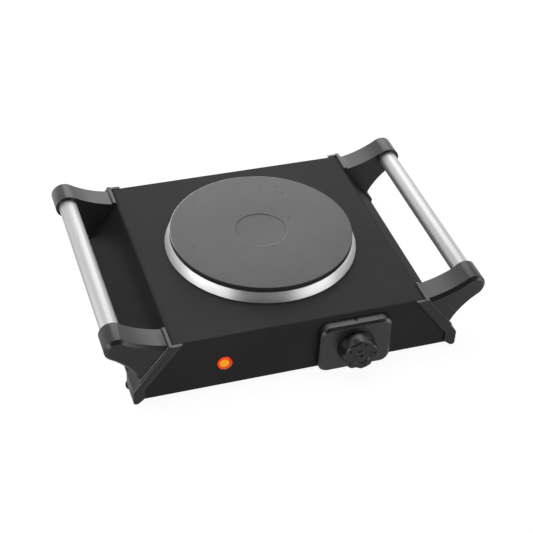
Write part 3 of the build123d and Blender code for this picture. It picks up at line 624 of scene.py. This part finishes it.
controlPlastic = mouldedPlastic("controlPlastic", panel)
bezel = dressed("control_bezel", "controlBezel", controlPlastic, panel)
bezelLow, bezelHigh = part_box("control_bezel")
bezelMiddle = (bezelLow.z + bezelHigh.z) / 2
flatEnd = bezelLow.y + panel["flat"]
for vertex in bezel.data.vertices:
    back = max(0.0, (vertex.co.y - flatEnd) / (bezelHigh.y - flatEnd))
    vertex.co.z += (vertex.co.z - bezelMiddle) * panel["draft"] * back


# knob, built of rings that blend from the fluted side to the round dish

knob = {
    "base": 19 * mm, "grip": 17.2 * mm, "length": 13.6 * mm, "lobes": 5, "lobeTurn": 3.0,
    "scallop": 9 * mm, "scallopDepth": 2 * mm, "scallopLength": 9 * mm, "scallopEnd": 5.5 * mm,
    "heel": 0.3 * mm, "edge": 0.8 * mm,
    "steps": 300, "soften": 4, "sideRows": 16, "edgeRows": 5, "faceRows": 22,
    "dish": 10.6 * mm, "hub": 5.4 * mm, "dishDepth": 0.9 * mm,
    "dishSlope": 0.4 * mm, "dishRound": 0.25 * mm,
    "hole": 1.3 * mm, "holeDepth": 2.0 * mm, "holeSlope": 0.2 * mm,
    "holeLip": 0.15 * mm, "holeFoot": 0.1 * mm,
    "dimple": 1.4 * mm, "dimpleInset": 3.4 * mm, "dimpleDepth": 1.8 * mm, "dimpleBowl": 3,
    "cloud": (22.0, 3.0), "black": 0.007, "grain": (2000.0, 2.0), "grainDepth": 0.006 * mm,
    "roughness": 0.28, "unevenness": 0.16, "sheen": 0.6, "sharp": 40.0,
}


def gripOutline(rise):
    # radius at each step round the grip, with the corners of the scallops softened
    back = knob["length"] - rise
    body = knob["grip"] + (knob["base"] - knob["grip"]) * back / knob["length"]
    hollow = knob["scallop"] + (knob["scallopEnd"] - knob["scallop"]) * back / knob["scallopLength"]
    span = knob["grip"] - knob["scallopDepth"] + knob["scallop"]
    gap = fullTurn / knob["lobes"]
    radii = []
    for k in range(knob["steps"]):
        turn = (fullTurn * k / knob["steps"] - math.radians(knob["lobeTurn"])) % gap - gap / 2
        room = hollow ** 2 - (span * math.sin(turn)) ** 2
        near = span * math.cos(turn) - math.sqrt(room) if room > 0 and hollow > 0 else body
        radii.append(min(body, near))
    reach = range(-knob["soften"], knob["soften"] + 1)
    return [sum(radii[(k + i) % len(radii)] for i in reach) / len(reach) for k in range(len(radii))]


def knobRows():
    # each row is the distance from the back and the radius at each step, or one radius
    heel, edge, front = knob["heel"], knob["edge"], knob["length"]
    rows = [(0.0, 0.0), (0.0, knob["base"] - heel)]
    for k in range(knob["sideRows"] + 1):
        rise = heel + (front - edge - heel) * k / knob["sideRows"]
        rows.append((rise, gripOutline(rise)))
    outline = gripOutline(front)
    for k in range(1, knob["edgeRows"] + 1):
        turn = math.pi / 2 * k / knob["edgeRows"]
        inset = edge * (1 - math.cos(turn))
        rows.append((front - edge * (1 - math.sin(turn)), [radius - inset for radius in outline]))
    dish, hub, hole = knob["dish"], knob["hub"], knob["hole"]
    for k in range(1, knob["faceRows"]):
        share = k / knob["faceRows"]
        rows.append((front, [(radius - edge) * (1 - share) + dish * share for radius in outline]))
    dishFloor, holeFloor = front - knob["dishDepth"], front - knob["holeDepth"]
    slope, bend = knob["dishSlope"], knob["dishRound"]
    middle = [
        (dish + edge, front, 0),
        (dish, front, bend),
        (dish - slope, dishFloor, bend),
        (hub + slope, dishFloor, bend),
        (hub, front, bend),
        (hole + knob["holeSlope"], front, knob["holeLip"]),
        (hole, holeFloor, knob["holeFoot"]),
        (0, holeFloor, 0),
    ]
    return rows + [(rise, radius) for radius, rise in rounded(middle, steps=3)[1:]]


knobPlastic = mouldedPlastic("knobPlastic", knob)
knobLow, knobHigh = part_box("knob")
knobCentre = Vector(((knobLow.x + knobHigh.x) / 2, knobHigh.y, (knobLow.z + knobHigh.z) / 2))
dimples = []
for k in range(knob["lobes"]):
    turn = math.radians(knob["lobeTurn"]) + fullTurn * k / knob["lobes"]
    dimples.append(Vector((math.cos(turn), math.sin(turn))) * (knob["grip"] - knob["dimpleInset"]))
shape = bmesh.new()
rings = []
for rise, radii in knobRows():
    if radii == 0:
        rings.append([shape.verts.new(knobCentre - Vector((0, rise, 0)))])
        continue
    if isinstance(radii, float):
        radii = [radii] * knob["steps"]
    points = []
    for k, radius in enumerate(radii):
        turn = fullTurn * k / knob["steps"]
        flat = Vector((math.cos(turn), math.sin(turn))) * radius
        away = min((flat - dimple).length for dimple in dimples) / knob["dimple"]
        bowl = max(0.0, 1 - away ** knob["dimpleBowl"])
        sink = knob["dimpleDepth"] * bowl if rise == knob["length"] else 0.0
        points.append(shape.verts.new(knobCentre + Vector((flat.x, sink - rise, flat.y))))
    rings.append(points)
joinRings(shape, rings)
smooth(addPiece("controlKnob", shape, "control", knobPlastic, "knob"), knob["sharp"])
print("control panel done")


# pilot lamp

lamp = {
    "dome": 1.3 * mm, "domeRows": 8, "edge": 0.5 * mm, "stem": 5.9 * mm, "steps": 96,
    "core": 4.4 * mm, "coreShift": (-0.9 * mm, 0.0, 1.5 * mm),  # painted refraction: the bulb's glow is painted off the middle of the lens
    "coreBlur": 1.3 * mm, "blur": 420.0, "blotch": (700.0, 1.0), "blotchEdge": (0.5, 0.62),
    "amber": (0.83, 0.31, 0.014, 1.0), "yellow": (0.92, 0.48, 0.03, 1.0),
    # painted shade: the lens's side wall next to the case is painted dark
    "shade": (0.02, 0.001, 0.001, 1.0), "shadeShare": 0.55, "rimShadeEdge": (-0.6 * mm, -0.3 * mm),
    "redColour": (0.85, 0.07, 0.015, 1.0), "redEdge": (-0.5 * mm, 0.4 * mm),  # bands round the core
    "deepColour": (0.5, 0.008, 0.009, 1.0), "deepEdge": (1.5 * mm, 2.0 * mm),
    "orangeColour": (0.83, 0.22, 0.025, 1.0), "orangeEdge": (3.0 * mm, 3.4 * mm),
    "refractionSide": (0.85, 0.0, -0.53), "refractionEdge": (1.5 * mm, 3.5 * mm),  # painted refraction: the dark deep band and the bright orange band are painted only on this lower side
    "glow": 0.78, "frost": 300.0, "roughness": 0.12, "unevenness": 0.08, "sheen": 0.08,
}

lensLow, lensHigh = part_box("lamp_lens")
lensMiddle = (lensLow + lensHigh) / 2
lensRadius = (lensHigh.x - lensLow.x) / 2
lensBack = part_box("body_shell")[0].y
lensTip = lensBack - lensLow.y
stemEnd = lensHigh.y - lensBack
shares = [k / lamp["domeRows"] for k in range(lamp["domeRows"])]
corners = [(lensRadius * share, lensTip - lamp["dome"] * share ** 2, 0) for share in shares] + [
    (lensRadius, lensTip - lamp["dome"], lamp["edge"]),
    (lensRadius, 0, 0),
    (lamp["stem"], 0, 0),
    (lamp["stem"], -stemEnd, 0),
    (0, -stemEnd, 0),
]
amber = newFinish("amberLens")
# painted refraction: the glowing core is centred off the lens's middle
spot = amber.stretched((1.0, 0.0, 1.0), lensMiddle + Vector(lamp["coreShift"]))
reach = around(amber.length(spot), amber.noise(lamp["blur"]), lamp["coreBlur"])
# painted refraction light and shade on the lower side of the lens
refractionSide = amber.facing(spot, lamp["refractionSide"], *lamp["refractionEdge"])
blotches = amber.patches(amber.noise(*lamp["blotch"]), *lamp["blotchEdge"])
hue = amber.mixed(blotches, lamp["amber"], lamp["yellow"])
for band in ("red", "deep", "orange"):
    mask = amber.ramp(reach, *beside(lamp["core"], lamp[band + "Edge"]))
    if band != "red":
        mask = mask * refractionSide
    hue = amber.mixed(mask, hue, lamp[band + "Colour"])
# painted shade on the lens's side wall near the case
rim = amber.ramp(amber.along(amber.place(), "Y"), *beside(lensBack, lamp["rimShadeEdge"]))
hue = amber.mixed(rim, hue, lamp["shade"])
amberLens = amber.surface(
    Base_Color=amber.mixed(lamp["shadeShare"], hue, grey(0.0)),
    Roughness=lamp["roughness"] + amber.noise(lamp["frost"]) * lamp["unevenness"],
    Emission_Color=hue,
    Emission_Strength=lamp["glow"],
    Specular_IOR_Level=lamp["sheen"],
)
shape = lathe(rounded(corners, steps=4), (lensMiddle.x, lensBack, lensMiddle.z), (0, -1, 0), lamp["steps"])
smooth(addPiece("pilotLens", shape, "base", amberLens, "lamp_lens"))
print("lamp done")


# finishes of the pieces that keep their solids

inner = {"grain": 900.0, "grainDepth": 0.02 * mm, "cloud": 35.0, "shade": 0.8, "unevenness": 0.15}


def plainFinish(name, colour, roughness, metallic=0.0, grain=inner["grain"], depth=inner["grainDepth"]):
    plain = newFinish(name)
    speck = plain.noise(grain)
    cloud = plain.noise(inner["cloud"])
    shade = [level * inner["shade"] for level in colour]
    return plain.surface(
        Base_Color=plain.mixed(plain.patches(cloud), (*shade, 1.0), (*colour, 1.0)),
        Roughness=around(roughness, speck, inner["unevenness"]),
        Metallic=metallic,
        Normal=plain.bump(speck, depth),
    )


finishes = {
    "base_paint": plainFinish("baseEnamel", (0.022, 0.022, 0.023), 0.5),
    "screw_steel": plainFinish("zincScrew", (0.55, 0.55, 0.54), 0.34, 1.0),
    "shield_aluminium": plainFinish("shieldSheet", (0.75, 0.75, 0.76), 0.4, 1.0),
    "foot_rubber": plainFinish("footRubber", (0.012, 0.012, 0.012), 0.75, grain=1800.0, depth=0.05 * mm),
    "coil_steel": plainFinish("coilSteel", (0.3, 0.29, 0.28), 0.45, 1.0),
    "fill_magnesia": plainFinish("pressedPowder", (0.75, 0.73, 0.69), 0.9, depth=0.1 * mm),
    "bead_ceramic": plainFinish("beadCeramic", (0.82, 0.8, 0.75), 0.5),
    "plain_steel": plainFinish("plainSteel", (0.5, 0.5, 0.5), 0.4, 1.0),
    "stat_plastic": plainFinish("thermostatPlastic", (0.6, 0.57, 0.5), 0.5),
    "contact_brass": plainFinish("contactBrass", (0.72, 0.56, 0.28), 0.3, 1.0),
    "lamp_plastic": plainFinish("glandPlastic", (0.022, 0.022, 0.022), 0.45),
    "bulb_glass": plainFinish("bulbGlass", (0.95, 0.85, 0.7), 0.1),
    "strip_plastic": plainFinish("stripPlastic", (0.8, 0.78, 0.72), 0.45),
    "lead_brown": plainFinish("brownSleeve", (0.2, 0.09, 0.04), 0.6),
    "lead_blue": plainFinish("blueSleeve", (0.05, 0.12, 0.4), 0.6),
    "lead_green": plainFinish("greenSleeve", (0.2, 0.45, 0.08), 0.6),
}
slots = {part["node"]: part["material_slot"] for part in frame["record"]["subparts"]}
for name, piece in nodes.items():
    if slots[name] in finishes:
        piece.data.materials.clear()
        piece.data.materials.append(finishes[slots[name]])
print("inner pieces finished")
